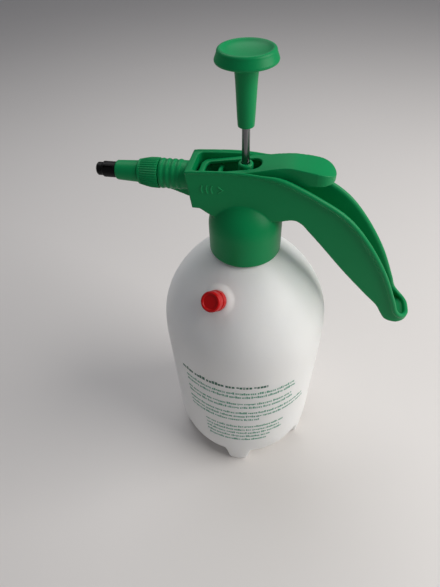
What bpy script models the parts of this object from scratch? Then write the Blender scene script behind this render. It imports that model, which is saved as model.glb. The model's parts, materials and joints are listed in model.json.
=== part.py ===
"""Hand pressure sprayer: white blow-moulded bottle, green pump head with a thumb lever.

The bottle stands on Z = 0. Lengths are in millimetres inside this file and are scaled to
metres where a mesh is made. All shapes are drawn about the bottle's own axis, and one
parent empty moves that axis so that the whole object is centred on X = 0.
"""
import bmesh
import bpy
import math
from mathutils import Matrix, Vector

MM = 0.001
MERGE = 0.00001                 # weld distance in metres

# overall
NOZZLE_END_X = -94.8            # front of the nozzle tip, from the bottle's axis
TOE_X = 118.9                   # rear of the handle's toe
AXIS_X = -(NOZZLE_END_X + TOE_X) / 2

# bottle
BOTTLE_R = 63.2
WALL = 1.8
NECK_R = 21.2                   # outside of the neck under its thread
NECK_BORE = 19.3
NECK_TOP = 242.0
THREAD_R = 22.2
FOOT_COUNT = 5
FOOT_AZIMUTH = -86.4            # the foot that faces the front
BOTTLE_STEPS = 50

# relief valve, measured along its own axis from the shoulder's surface
RELIEF_AZIMUTH = -108.0
RELIEF_ELEVATION = 39.0
RELIEF_RHO = 40.8
RELIEF_Z = 204.0
RELIEF_R = 7.0
RELIEF_HOLE_R = 4.6

# head moulding
HEAD_HALF = 12.4                # half the width of the box and handle
HEAD_WALL = 1.8
COLLAR_R = 24.1
COLLAR_BORE = 22.6
COLLAR_Z = 222.0
DOME_Z = 240.6                  # centre of the collar's round top
SHOULDER_Z = 247.0              # where the head clamps the cylinder's flange
FLOOR_Z = 265.5                 # floor of the box
TOE_ROUND = 10.0
BEAD_R = 1.7                    # round bead on the handle's rim
BOX_BEAD_R = 0.9                # the same bead beside the box
BEAD_START_X = -34.13
BEAD_OUT = 0.11                 # the bead stands this far outside the wall

# nozzle, along its own axis
NOZZLE_Z = 273.0
BARREL_R = 8.7
BARREL_RIB_R = 9.2
BORE_DROP = 2.0                 # the duct runs a little under the barrel's centre

# thumb lever
PIVOT_X = -26.0
PIVOT_Z = 273.0
LEVER_HALF = 10.1
LEVER_WALL = 1.7
SLOT_HALF = 6.3
VALVE_X = -16.0                 # valve and dip tube
RIB_Z = 275.5                   # bar of the lever that presses the valve

# pump
ROD_R = 2.3
CYLINDER_R = 12.0
CYLINDER_BORE = 10.8
CYLINDER_END = 172.0
PISTON_Z = 199.0
KNOB_R = 16.4
STEM_END = 306.3
GUIDE_TOP = 284.2

GREEN = (0.004, 0.30, 0.10)
WHITE = (0.80, 0.80, 0.77)
RED = (0.38, 0.002, 0.004)
BLACK = (0.012, 0.012, 0.013)
STEEL = (0.62, 0.62, 0.64)
RUBBER = (0.03, 0.03, 0.03)
CLEAR = (0.75, 0.77, 0.76)
GREY = (0.35, 0.36, 0.36)


# ---------------------------------------------------------------- scene and helpers

def clear_scene():
    for old in list(bpy.data.objects):
        bpy.data.objects.remove(old, do_unlink=True)


def make_collection(name):
    group = bpy.data.collections.new(name)
    bpy.context.scene.collection.children.link(group)
    return group


def make_material(name, colour, roughness, metallic=0.0):
    material = bpy.data.materials.new(name)
    material.use_nodes = True
    shader = material.node_tree.nodes["Principled BSDF"]
    shader.inputs["Base Color"].default_value = (*colour, 1.0)
    shader.inputs["Roughness"].default_value = roughness
    shader.inputs["Metallic"].default_value = metallic
    return material


def make_empty(name, location=(0, 0, 0), direction=None, parent=None):
    """An empty on a joint's axis; its local Z lies along direction."""
    empty = bpy.data.objects.new(name, None)
    parts.objects.link(empty)
    empty.location = Vector(location) * MM
    if direction is not None:
        empty.rotation_euler = Vector(direction).to_track_quat("Z", "Y").to_euler()
    empty.parent = parent
    return empty


def add_object(name, mesh, parent, finish=None):
    """finish is (colour, roughness, metallic); without one the object is a cutter."""
    piece = bpy.data.objects.new(name, mesh)
    piece.parent = parent
    if finish is None:
        cutters.objects.link(piece)
        piece.hide_render = True
        piece.display_type = "WIRE"
        return piece
    parts.objects.link(piece)
    mesh.materials.append(make_material(name, *finish))
    return piece


def evaluated_mesh(piece):
    bpy.context.view_layer.update()
    graph = bpy.context.evaluated_depsgraph_get()
    mesh = bpy.data.meshes.new_from_object(piece.evaluated_get(graph))
    work = bmesh.new()
    work.from_mesh(mesh)
    bmesh.ops.remove_doubles(work, verts=work.verts, dist=MERGE)
    work.to_mesh(mesh)
    work.free()
    return mesh


def smooth(mesh, angle=35):
    mesh.shade_smooth()
    mesh.set_sharp_from_angle(angle=math.radians(angle))


def turned(name, profile, parent, finish=None, steps=24, closed=False, location=(0, 0, 0)):
    """Turn a profile of (radius, height) points about the parent's Z axis."""
    mesh = bpy.data.meshes.new(name)
    points = [(r * MM, 0, z * MM) for r, z in profile]
    edges = [(i, i + 1) for i in range(len(points) - 1)]
    if closed:
        edges.append((len(points) - 1, 0))
    mesh.from_pydata(points, edges, [])
    piece = add_object(name, mesh, parent, finish)
    piece.location = Vector(location) * MM
    screw = piece.modifiers.new("Turn", "SCREW")
    screw.steps = steps
    screw.render_steps = steps
    screw.use_merge_vertices = True
    screw.merge_threshold = MERGE
    screw.use_smooth_shade = True
    return piece


def rod(name, radius, low, high, parent, finish=None, steps=24, location=(0, 0, 0)):
    """A solid round bar along the parent's Z axis."""
    profile = [(0, high), (radius, high), (radius, low), (0, low)]
    return turned(name, profile, parent, finish, steps, False, location)


def ring(inner, outer, low, high):
    """Profile of a plain ring."""
    return [(inner, high), (outer, high), (outer, low), (inner, low)]


def o_ring(centre_r, centre_z, thick_r, count=8):
    """Profile of a round seal."""
    turn = [-2 * math.pi * i / count for i in range(count)]
    return [(centre_r + thick_r * math.cos(a), centre_z + thick_r * math.sin(a)) for a in turn]


def arc(centre, radius, start, end, count):
    """Points on an arc, with angles in degrees."""
    angles = [math.radians(start + (end - start) * i / count) for i in range(count + 1)]
    return [(centre[0] + radius * math.cos(a), centre[1] + radius * math.sin(a)) for a in angles]


def flowing(points, count=4):
    """A smooth line through the points, with count steps between neighbours."""
    padded = [points[0]] + list(points) + [points[-1]]
    line = []
    for i in range(1, len(padded) - 2):
        for step in range(count):
            t = step / count
            line.append(tuple(
                0.5 * (2 * b + (c - a) * t + (2 * a - 5 * b + 4 * c - d) * t * t
                       + (3 * b - a - 3 * c + d) * t * t * t)
                for a, b, c, d in zip(*padded[i - 1:i + 3])))
    line.append(tuple(points[-1]))
    return line


def plate(name, outline, half, parent, finish=None, upright=True, centre=(0, 0, 0)):
    """A flat outline with thickness: upright ones are drawn in X and Z, others in X and Y."""
    curve = bpy.data.curves.new(name, "CURVE")
    curve.dimensions = "2D"
    curve.fill_mode = "BOTH"
    curve.extrude = half * MM
    spline = curve.splines.new("POLY")
    spline.points.add(len(outline) - 1)
    for point, (x, y) in zip(spline.points, outline):
        point.co = (x * MM, y * MM, 0, 1)
    spline.use_cyclic_u = True
    guide = bpy.data.objects.new(name + "_outline", curve)
    cutters.objects.link(guide)
    mesh = evaluated_mesh(guide)
    bpy.data.objects.remove(guide, do_unlink=True)
    turn = Matrix.Rotation(math.radians(90), 4, "X") if upright else Matrix.Identity(4)
    mesh.transform(Matrix.Translation(Vector(centre) * MM) @ turn)
    return add_object(name, mesh, parent, finish)


def block(name, low, high, parent):
    """A box-shaped cutter between two corners."""
    work = bmesh.new()
    bmesh.ops.create_cube(work, size=1.0)
    size = Vector(high) - Vector(low)
    middle = (Vector(high) + Vector(low)) / 2
    bmesh.ops.scale(work, vec=size * MM, verts=work.verts)
    bmesh.ops.translate(work, vec=middle * MM, verts=work.verts)
    mesh = bpy.data.meshes.new(name)
    work.to_mesh(mesh)
    work.free()
    return add_object(name, mesh, parent)


def combine(piece, other, operation):
    """Join, cut or keep the common part of two solids with a Boolean modifier."""
    change = piece.modifiers.new(other.name, "BOOLEAN")
    change.operation = operation
    change.solver = "EXACT"
    change.object = other


def along(parent, name, direction, location):
    """A helper empty, for cutters that lie across their parent's axis."""
    return make_empty(name, location, direction, parent)


def swept(name, line, radii, facets, parent, finish=None):
    """A closed round bar along a line of points, with its own radius at each point."""
    curve = bpy.data.curves.new(name, "CURVE")
    curve.dimensions = "3D"
    curve.bevel_depth = MM
    curve.bevel_resolution = facets
    curve.use_fill_caps = True
    spline = curve.splines.new("POLY")
    spline.points.add(len(line) - 1)
    for point, place, radius in zip(spline.points, line, radii):
        point.co = (*(Vector(place) * MM), 1)
        point.radius = radius
    guide = bpy.data.objects.new(name + "_path", curve)
    cutters.objects.link(guide)
    mesh = evaluated_mesh(guide)
    bpy.data.objects.remove(guide, do_unlink=True)
    return add_object(name, mesh, parent, finish)


def coil(name, radius, wire, low, high, turns, parent, finish):
    """A compression spring along the parent's Z axis, with closed ends."""
    per_turn = 12
    count = turns * per_turn
    line = []
    for i in range(count + 1):
        angle = 2 * math.pi * i / per_turn
        rise = low + wire + (high - low - 2 * wire) * i / count
        line.append((radius * math.cos(angle), radius * math.sin(angle), rise))
    return swept(name, line, [wire] * (count + 1), 1, parent, finish)


def ease(value):
    """A soft step from 0 to 1."""
    value = min(max(value, 0.0), 1.0)
    return value * value * (3 - 2 * value)


# ---------------------------------------------------------------- bottle

def skin_profile():
    """Outer radius and height from the neck's foot down to the base."""
    shoulder = [(NECK_R, 221.0), (23.6, 219.6), (29.4, 215.0), (36.8, 208.0), (44.3, 200.0),
                (51.4, 190.0), (57.0, 179.5), (60.8, 168.5), (62.6, 156.0), (BOTTLE_R, 140.0)]
    side = [(62.4, 100.0), (61.9, 60.0), (61.9, 42.0)]
    base = [(61.2, 31.0), (59.6, 23.0), (57.0, 16.0), (52.5, 12.0), (46.5, 9.5), (40.0, 9.6),
            (33.0, 11.0), (18.0, 14.5)]
    return shoulder + side + base


def moved_in(profile, wall):
    """The same line moved inwards by the wall."""
    inner = []
    for i, (r, z) in enumerate(profile):
        before = profile[max(i - 1, 0)]
        after = profile[min(i + 1, len(profile) - 1)]
        dr = after[0] - before[0]
        dz = after[1] - before[1]
        size = math.hypot(dr, dz)
        inner.append((r + wall * dz / size, z - wall * dr / size))
    return inner


def neck_profile():
    """The lip and the thread's crests, from the top down."""
    neck = [(NECK_BORE, NECK_TOP), (NECK_R, NECK_TOP)]
    for crest in range(3):
        high = 238.2 - 4.6 * crest
        neck += [(NECK_R, high), (THREAD_R, high - 0.9), (THREAD_R, high - 1.9),
                 (NECK_R, high - 3.0)]
    return neck


def foot_weight(radius, height, azimuth):
    """How far a point belongs to a foot: 1 on its flat sole, 0 between the feet."""
    period = 360.0 / FOOT_COUNT
    away = abs((azimuth - FOOT_AZIMUTH + period / 2) % period - period / 2)
    around = 1 - ease((away - 7.3) / 6.5)
    inwards = ease((radius - 26.0) / 16.0)
    upwards = 1 - ease((height - 16.0) / 20.0)
    return around * inwards * upwards


def press_feet(mesh):
    """Draw the base down to the ground at each foot, its inner and outer skin alike."""
    for vertex in mesh.vertices:
        x, y, z = (value / MM for value in vertex.co)
        if z > 40.0:
            continue
        outwards = Vector((x, y, -0.6 * BOTTLE_R))
        floor = WALL if vertex.normal.dot(outwards) < 0 else 0.0
        weight = foot_weight(math.hypot(x, y), z, math.degrees(math.atan2(y, x)))
        vertex.co.z = (z * (1 - weight) + floor * weight) * MM


def build_bottle(axis, relief_axis):
    outer = skin_profile()
    inner = [point for point in moved_in(outer, WALL) if point[1] < 219.0]
    profile = ([(0, 16.6)] + inner[::-1] + [(NECK_BORE, 219.4)] + neck_profile() + outer
               + [(0, 14.8)])
    blank = turned("bottle_blank", profile, axis, None, BOTTLE_STEPS)
    mesh = evaluated_mesh(blank)
    bpy.data.objects.remove(blank, do_unlink=True)
    press_feet(mesh)
    mesh.update()
    smooth(mesh, 50)
    bottle = add_object("bottle", mesh, axis, (WHITE, 0.38, 0.0))
    boss = turned("relief_boss", [(0, 0.7), (7.9, 0.7), (9.0, -0.4), (9.0, -1.6), (7.4, -1.9),
                                  (7.4, -6.0), (0, -6.0)], relief_axis, None, 20)
    combine(bottle, boss, "UNION")
    combine(bottle, rod("relief_hole", RELIEF_HOLE_R, -9.0, 4.0, relief_axis, None, 20),
            "DIFFERENCE")


# ---------------------------------------------------------------- head moulding

RIM = [(-34.8, 282.0), (-29.0, 282.8), (-6.0, 283.8), (10.0, 282.6), (24.1, 280.1),
       (43.7, 270.5), (62.2, 258.6), (77.4, 241.4), (92.1, 218.4), (103.2, 194.7),
       (106.8, 185.6), (110.4, 180.9), (114.5, 178.0), (118.7, 176.9)]
SOLE = [(118.9, 175.8), (115.5, 174.2), (108.0, 173.6), (102.3, 175.6), (98.3, 180.9),
        (93.4, 188.8), (83.9, 198.5), (66.6, 217.1), (48.9, 237.8), (41.0, 246.7),
        (36.2, 251.9), (31.0, 254.2), (23.8, 252.6)]
THROAT = [(18.0, 252.0), (-18.0, 252.0), (-21.6, 253.9), (-26.7, 257.4), (-31.7, 257.6)]
CHANNEL_FLOOR = [(15.0, FLOOR_Z), (24.0, 262.2), (33.0, 256.9), (39.0, 252.3), (45.2, 245.6),
                 (52.4, 237.3), (69.2, 218.0), (86.2, 200.0), (96.0, 189.8), (101.4, 181.6),
                 (104.6, 177.8), (110.0, 176.2), (116.0, 176.6)]


def plan_outline(half, front, front_round, rear, rear_round):
    """A bar seen from above, with round corners at each end."""
    return (arc((rear - rear_round, half - rear_round), rear_round, 90, 0, 6)
            + arc((rear - rear_round, rear_round - half), rear_round, 0, -90, 6)
            + arc((front + front_round, front_round - half), front_round, -90, -180, 4)
            + arc((front + front_round, half - front_round), front_round, 180, 90, 4))


def barrel_profile():
    """The ribbed spigot that the nozzle screws on, by distance along the nozzle's axis."""
    profile = [(0, 60.5), (6.8, 60.5), (6.8, 53.1), (BARREL_R, 53.1)]
    for rib in range(4):
        start = 52.6 - rib * 3.7
        profile += [(BARREL_R, start), (BARREL_RIB_R, start - 0.7), (BARREL_RIB_R, start - 1.9),
                    (BARREL_R, start - 2.6)]
    return profile + [(BARREL_R, 32.8), (0, 32.8)]


def rim_height(x):
    """Height of the rim line at a distance from the bottle's axis."""
    line = flowing(RIM, 3)
    for (x0, z0), (x1, z1) in zip(line, line[1:]):
        if x0 <= x <= x1:
            return z0 + (z1 - z0) * (x - x0) / (x1 - x0)
    return line[-1][1]


def rim_bead(axis):
    """The bead along both rims and round the toe: thin beside the box, thick on the handle."""
    bend = TOE_X - BEAD_R - TOE_ROUND
    beside = HEAD_HALF + BEAD_OUT
    side = [(BEAD_START_X, beside, rim_height(BEAD_START_X))]
    side += [(x, beside, z) for x, z in flowing(RIM, 3) if BEAD_START_X + 1.0 < x < bend]
    for x, y in arc((bend, beside - TOE_ROUND), TOE_ROUND, 90, 0, 6):
        side.append((x, y, rim_height(x)))
    line = side + [(x, -y, z) for x, y, z in side[::-1]]
    radii = [BOX_BEAD_R + (BEAD_R - BOX_BEAD_R) * ease((x - 8.0) / 18.0) for x, y, z in line]
    return swept("rim_bead", line, radii, 2, axis)


def build_head(axis, nozzle_axis, pivot):
    finish = (GREEN, 0.36, 0.0)
    side = flowing(RIM, 3) + flowing(SOLE, 3) + THROAT
    head = plate("head_housing", side, HEAD_HALF, axis, finish)
    plan = plan_outline(HEAD_HALF, -40.0, 2.0, TOE_X, TOE_ROUND)
    combine(head, plate("head_plan", plan, 100.0, axis, None, False, (0, 0, 230.0)), "INTERSECT")

    dome = arc((0, DOME_Z), COLLAR_R, 90, 0, 8)
    dome[0] = (0, DOME_Z + COLLAR_R)
    collar = turned("collar", dome + [(COLLAR_R, COLLAR_Z), (0, COLLAR_Z)], axis, None, 40)
    combine(head, collar, "UNION")
    combine(head, turned("barrel", barrel_profile(), nozzle_axis, None, 24), "UNION")
    gusset = [(-31.0, 268.0), (-50.5, 268.0), (-50.5, 264.6), (-46.0, 263.6), (-31.0, 258.0)]
    combine(head, plate("gusset", gusset, 3.2, axis), "UNION")

    channel = [(-33.0, FLOOR_Z)] + flowing(CHANNEL_FLOOR, 3) + [(122.0, 179.0), (122.0, 300.0),
                                                               (-33.0, 300.0)]
    pocket = plate("channel_side", channel, HEAD_HALF - HEAD_WALL, axis)
    inner = plan_outline(HEAD_HALF - HEAD_WALL, -30.6, 3.0, TOE_X - 1.9, TOE_ROUND - 1.8)
    combine(pocket, plate("channel_plan", inner, 100.0, axis, None, False, (0, 0, 230.0)),
            "INTERSECT")
    combine(head, pocket, "DIFFERENCE")
    combine(head, rim_bead(axis), "UNION")

    cavity = ([(0, 262.4), (7.5, 262.4)] + arc((0, 243.0), 19.5, 62, 12, 4)
              + [(19.5, SHOULDER_Z), (COLLAR_BORE, SHOULDER_Z), (COLLAR_BORE, COLLAR_Z - 5.0),
                 (0, COLLAR_Z - 5.0)])
    combine(head, turned("collar_cavity", cavity, axis, None, 36), "DIFFERENCE")
    combine(head, rod("guide_hole", 4.9, 255.0, 275.0, axis), "DIFFERENCE")
    combine(head, rod("valve_hole", 4.7, 246.0, 275.0, axis, None, 24, (VALVE_X, 0, 0)),
            "DIFFERENCE")
    duct = rod("barrel_duct", 1.6, 28.0, 65.0, nozzle_axis, None, 16, (-BORE_DROP, 0, 0))
    combine(head, duct, "DIFFERENCE")
    across = along(pivot, "pivot_cross", (0, 1, 0), (0, 0, 0))
    combine(head, rod("pivot_socket", 2.3, -11.9, 11.9, across, None, 20), "DIFFERENCE")
    return head


# ---------------------------------------------------------------- thumb lever

LEVER_TOP = [(-28.3, 276.6), (-27.2, 278.6), (-16.0, 280.4), (6.0, 284.0), (24.0, 287.0),
             (34.5, 286.4), (43.4, 285.0), (49.5, 283.1), (52.6, 281.0)]
LEVER_WAIST = [(4.0, 10.1), (16.0, 9.2), (25.0, 8.9), (34.5, 9.7), (42.0, 10.1)]
LEVER_UNDER = [(52.6, 277.2), (47.5, 277.2), (40.0, 276.8), (30.0, 275.4), (15.0, 273.0),
               (0.0, 271.4), (-15.0, 270.0), (-22.0, 269.6), (-28.3, 269.8)]


def lever_outline(inset):
    """The lever seen from above: rails, a slight waist and a round paddle."""
    far = arc((-23.3, 5.1), 5.0 - inset, 180, 90, 3)
    far += [(x, half - inset) for x, half in LEVER_WAIST]
    far += arc((42.6, 0), 10.0 - inset, 84, 0, 6)
    return far + [(x, -y) for x, y in far[::-1] if y > 0.01]


def build_lever(axis, pivot):
    finish = (GREEN, 0.34, 0.0)
    lever = plate("thumb_lever", flowing(LEVER_TOP, 3) + LEVER_UNDER, LEVER_HALF, axis, finish)
    plan = plate("lever_plan", lever_outline(0.0), 60.0, axis, None, False, (0, 0, 270.0))
    combine(lever, plan, "INTERSECT")
    under = [(x, z - 2.0) for x, z in LEVER_TOP[1:]]
    hollow = plate("lever_hollow", flowing(under, 2) + [(56.0, 262.0), (-30.0, 262.0)],
                   LEVER_HALF - LEVER_WALL, axis)
    inner = plate("lever_inner", lever_outline(LEVER_WALL), 60.0, axis, None, False, (0, 0, 270.0))
    combine(hollow, inner, "INTERSECT")
    combine(lever, hollow, "DIFFERENCE")
    slot = plan_outline(SLOT_HALF, -24.5, 2.5, 9.5, 5.5)
    combine(lever, plate("lever_slot", slot, 20.0, axis, None, False, (0, 0, 285.0)), "DIFFERENCE")
    combine(lever, block("lever_mouth", (-36, -6, 260), (-24, 6, 276.6), axis), "DIFFERENCE")
    across = along(pivot, "lever_cross", (0, 1, 0), (0, 0, 0))
    for side, name in ((-1, "near"), (1, "far")):
        ends = sorted((side * 8.0, side * 11.6))
        combine(lever, rod("trunnion_" + name, 2.0, *ends, across, None, 20), "UNION")
    bar_at = (VALVE_X - PIVOT_X, 0, RIB_Z - PIVOT_Z)
    bar_axis = along(pivot, "bar_cross", (0, 1, 0), bar_at)
    combine(lever, rod("press_bar", 1.5, -9.2, 9.2, bar_axis, None, 16), "UNION")
    return lever


# ---------------------------------------------------------------- pump

def build_pump(pump):
    plastic = (GREEN, 0.36, 0.0)
    dish = [(0, 343.1), (6.0, 343.4), (10.5, 344.3), (12.6, 345.4)]
    rim = arc((13.4, 344.1), 1.6, 100, 0, 4)
    body = [(KNOB_R, 340.6), (KNOB_R - 0.2, 339.8), (KNOB_R - 1.0, 339.3), (7.8, 339.3),
            (6.5, 337.5), (5.85, 330.0), (4.65, STEM_END), (2.6, STEM_END), (2.6, 325.0),
            (0, 325.0)]
    turned("pump_knob", dish + rim + body, pump, plastic, 30)
    rod_profile = [(0, 324.6), (ROD_R, 324.6), (ROD_R, 204.6), (3.4, 204.6), (3.4, 202.2),
                   (0, 202.2)]
    turned("pump_rod", rod_profile, pump, (STEEL, 0.22, 1.0), 20)
    head = PISTON_Z
    piston = [(2.6, head + 14.0), (8.6, head + 14.0), (10.4, head + 12.8), (10.4, head + 9.6),
              (8.0, head + 9.6), (8.0, head + 4.2), (10.4, head + 4.2), (10.4, head + 0.8),
              (9.4, head), (3.8, head), (3.8, head + 6.0), (2.6, head + 6.0)]
    turned("piston", piston, pump, (GREY, 0.45, 0.0), 28, True)
    cup = [(8.3, head + 9.2), (9.3, head + 9.2), (10.5, head + 5.6), (10.5, head + 4.6),
           (8.3, head + 4.6)]
    turned("piston_seal", cup, pump, (RUBBER, 0.7, 0.0), 28, True)


def build_cylinder(axis):
    """The pump's cylinder: a flange at the top, ports and a flap valve at the foot."""
    foot = CYLINDER_END
    profile = [(0, foot + 1.6), (CYLINDER_BORE, foot + 1.6), (CYLINDER_BORE, 246.6),
               (21.0, 246.6), (21.0, 244.1), (CYLINDER_R, 244.1), (CYLINDER_R, foot + 1.0),
               (CYLINDER_R - 1.0, foot), (0, foot)]
    cylinder = turned("pump_cylinder", profile, axis, (CLEAR, 0.4, 0.0), 28)
    hole = rod("tube_hole", 2.7, 240.0, 250.0, axis, None, 16, (VALVE_X, 0, 0))
    combine(cylinder, hole, "DIFFERENCE")
    combine(cylinder, rod("check_hole", 1.3, 168.0, 178.0, axis, None, 12), "DIFFERENCE")
    for port in range(4):
        angle = math.radians(45 + 90 * port)
        place = (4.6 * math.cos(angle), 4.6 * math.sin(angle), 0)
        combine(cylinder, rod("port_" + str(port), 1.1, 168.0, 178.0, axis, None, 10, place),
                "DIFFERENCE")
    umbrella = [(0, 175.2), (0.7, 175.2), (1.0, 174.6), (1.0, 171.5), (6.4, 171.5), (7.2, 170.6),
                (2.0, 169.8), (0, 169.8)]
    turned("check_valve", umbrella, axis, (RUBBER, 0.6, 0.0), 16)


def build_cap(axis):
    """The cylinder's lid, with the tower that guides the rod up through the lever's slot."""
    profile = [(2.6, GUIDE_TOP), (3.9, GUIDE_TOP), (4.5, GUIDE_TOP - 0.8), (4.5, 252.0),
               (6.0, 249.9), (12.5, 249.9), (12.5, 246.9), (10.5, 246.9), (10.5, 240.0),
               (5.4, 240.0), (5.4, 243.0), (2.6, 243.0)]
    turned("cylinder_cap", profile, axis, (GREEN, 0.4, 0.0), 24, True)
    turned("rod_seal", o_ring(3.9, 241.5, 1.2), axis, (RUBBER, 0.7, 0.0), 16, True)


def build_gasket(axis):
    turned("neck_gasket", ring(19.4, 21.6, 242.3, 243.8), axis, (RUBBER, 0.7, 0.0), 28, True)


# ---------------------------------------------------------------- valve and dip tube

def build_valve(valve, valve_line):
    body = [(1.5, 272.5), (4.4, 272.5), (4.4, 250.4), (3.1, 250.4), (3.1, 268.2), (1.9, 268.2),
            (1.9, 271.3), (1.5, 271.3)]
    housing = turned("valve_body", body, valve, (GREY, 0.45, 0.0), 24, True)
    combine(housing, rod("spout", 2.4, 3.4, 14.3, valve_line, None, 16), "UNION")
    combine(housing, rod("spout_bore", 1.1, 0.0, 17.0, valve_line, None, 12), "DIFFERENCE")
    stem = [(0, 273.7), (0.8, 273.7), (1.2, 273.2), (1.2, 267.2), (2.7, 267.2), (2.7, 266.2),
            (0, 266.2)]
    turned("valve_stem", stem, valve, (STEEL, 0.3, 1.0), 16)
    turned("valve_seal", ring(1.5, 2.8, 267.4, 268.0), valve, (RUBBER, 0.7, 0.0), 16, True)
    coil("valve_spring", 2.1, 0.3, 262.3, 265.9, 3, valve, (STEEL, 0.3, 1.0))
    tube = [(1.4, 262.0), (2.8, 262.0), (2.8, 251.0), (2.3, 249.6), (2.3, 20.0), (1.4, 20.0)]
    turned("dip_tube", tube, valve, (CLEAR, 0.35, 0.0), 16, True)
    foot = [(2.6, 25.0), (3.0, 25.0), (3.0, 18.2), (2.2, 17.2), (0.8, 17.2), (0.8, 18.4),
            (2.0, 18.4), (2.6, 19.2)]
    turned("strainer", foot, valve, (BLACK, 0.5, 0.0), 16, True)


# ---------------------------------------------------------------- nozzle

def knurled_nut(nozzle):
    """A tapered grip with flat-bottomed grooves around it."""
    profile = [(7.1, 53.4), (9.3, 53.4), (9.3, 55.6), (9.2, 59.0), (8.6, 62.4), (7.7, 66.4),
               (7.3, 66.8), (5.1, 66.8), (5.1, 64.1), (7.1, 64.1)]
    nut = turned("nozzle_nut", profile[::-1], nozzle, (GREEN, 0.42, 0.0), 32, True)
    for groove in range(16):
        angle = 2 * math.pi * groove / 16
        tool_axis = along(nozzle, "groove_axis_" + str(groove), (0, 0, 1), (0, 0, 0))
        tool_axis.rotation_euler = (0, 0, angle)
        tool = block("groove_" + str(groove), (8.75, -0.45, 52.0), (11.0, 0.45, 65.0), tool_axis)
        combine(nut, tool, "DIFFERENCE")
    return nut


def build_nozzle(nozzle):
    knurled_nut(nozzle)
    sleeve = [(3.2, 81.8), (5.4, 81.8), (6.0, 81.0), (6.65, 67.1), (4.8, 67.1), (4.8, 63.8),
              (6.5, 63.8), (6.5, 62.3), (2.2, 62.3), (2.2, 65.6), (3.2, 65.6)]
    turned("nozzle_tube", sleeve, nozzle, (GREEN, 0.34, 0.0), 28, True)
    turned("nozzle_seal", ring(4.0, 6.3, 60.8, 62.0), nozzle, (RUBBER, 0.7, 0.0), 24, True)
    core = [(0, 73.6), (1.6, 73.6), (2.8, 72.6), (2.8, 66.0), (0, 66.0)]
    swirl = turned("swirl_core", core, nozzle, (WHITE, 0.45, 0.0), 20)
    for side in range(3):
        turn = along(nozzle, "swirl_axis_" + str(side), (0, 0, 1), (0, 0, 0))
        turn.rotation_euler = (0, 0, math.radians(120 * side))
        combine(swirl, block("swirl_groove_" + str(side), (1.9, -0.5, 60.0), (4.0, 0.5, 76.0),
                             turn), "DIFFERENCE")
    tip = [(0.5, 94.8), (3.4, 94.8), (4.1, 94.1), (4.1, 91.0), (4.9, 90.2), (4.9, 82.1),
           (2.9, 82.1), (2.9, 74.4), (2.0, 74.4), (2.0, 91.6), (0.5, 93.4)]
    black_tip = turned("nozzle_tip", tip, nozzle, (BLACK, 0.35, 0.0), 24, True)
    for side in range(4):
        turn = along(nozzle, "tip_axis_" + str(side), (0, 0, 1), (0, 0, 0))
        turn.rotation_euler = (0, 0, math.radians(45 + 90 * side))
        combine(black_tip, block("tip_notch_" + str(side), (3.9, -0.8, 83.4), (6.5, 0.8, 89.8),
                                 turn), "DIFFERENCE")


# ---------------------------------------------------------------- relief valve

def build_relief(relief):
    red = (RED, 0.35, 0.0)
    body = [(3.4, 5.0), (6.6, 5.0), (7.1, 4.5), (7.1, 1.0), (4.3, 1.0), (4.3, -9.0), (1.6, -9.0),
            (1.6, -6.6), (3.4, -6.6)]
    turned("relief_body", body, relief, red, 28, True)
    cap = [(0, 11.2), (4.8, 11.2), (5.2, 12.0), (6.2, 12.0), (RELIEF_R - 0.1, 11.2),
           (RELIEF_R - 0.1, 6.2), (6.2, 5.4), (1.5, 5.4), (1.5, 9.4), (0, 9.4)]
    turned("relief_cap", cap, relief, red, 28)
    stem = [(0, 9.1), (1.2, 9.1), (1.2, -3.7), (2.9, -3.7), (2.9, -4.7), (1.2, -4.7),
            (1.2, -8.4), (0, -8.4)]
    turned("relief_stem", stem, relief, (STEEL, 0.3, 1.0), 16)
    turned("relief_seal", ring(1.5, 3.0, -6.2, -5.0), relief, (RUBBER, 0.7, 0.0), 16, True)
    coil("relief_spring", 2.4, 0.35, -3.4, 3.3, 4, relief, (STEEL, 0.3, 1.0))
    turned("relief_retainer", ring(1.6, 3.1, 3.6, 4.8), relief, (STEEL, 0.3, 1.0), 16, True)


def relief_direction():
    azimuth = math.radians(RELIEF_AZIMUTH)
    elevation = math.radians(RELIEF_ELEVATION)
    flat = math.cos(elevation)
    return flat * math.cos(azimuth), flat * math.sin(azimuth), math.sin(elevation)


def build():
    axis = make_empty("bottle_axis", (AXIS_X, 0, 0))
    azimuth = math.radians(RELIEF_AZIMUTH)
    seat = (RELIEF_RHO * math.cos(azimuth), RELIEF_RHO * math.sin(azimuth), RELIEF_Z)
    relief = make_empty("relief_axis", seat, relief_direction(), axis)
    pump = make_empty("pump_axis", (0, 0, 0), None, axis)
    pivot = make_empty("lever_pivot", (PIVOT_X, 0, PIVOT_Z), None, axis)
    valve = make_empty("valve_axis", (VALVE_X, 0, 0), None, axis)
    line_z = NOZZLE_Z - BORE_DROP
    valve_line = make_empty("valve_line", (VALVE_X, 0, line_z - 1.0), (-1, 0, 0), axis)
    nozzle = make_empty("nozzle_axis", (0, 0, NOZZLE_Z), None, axis)
    nozzle.rotation_euler = (0, math.radians(-90), 0)
    build_bottle(axis, relief)
    build_head(axis, nozzle, pivot)
    build_lever(axis, pivot)
    build_gasket(axis)
    build_cylinder(axis)
    build_cap(axis)
    build_pump(pump)
    build_valve(valve, valve_line)
    build_nozzle(nozzle)
    build_relief(relief)


clear_scene()
parts = make_collection("hand_sprayer")
cutters = make_collection("cutters")
build()
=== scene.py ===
"""Looks of the hand pressure sprayer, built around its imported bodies.

The shells, the print and the small turned pieces are drawn in millimetres about the bottle's own
axis, and go to metres in the row frame at the end of each builder.
"""
import json
import math
import random

import bmesh
import bpy
from bpy.props import FloatProperty, FloatVectorProperty, IntProperty, PointerProperty
from mathutils import Matrix, Vector


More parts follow.
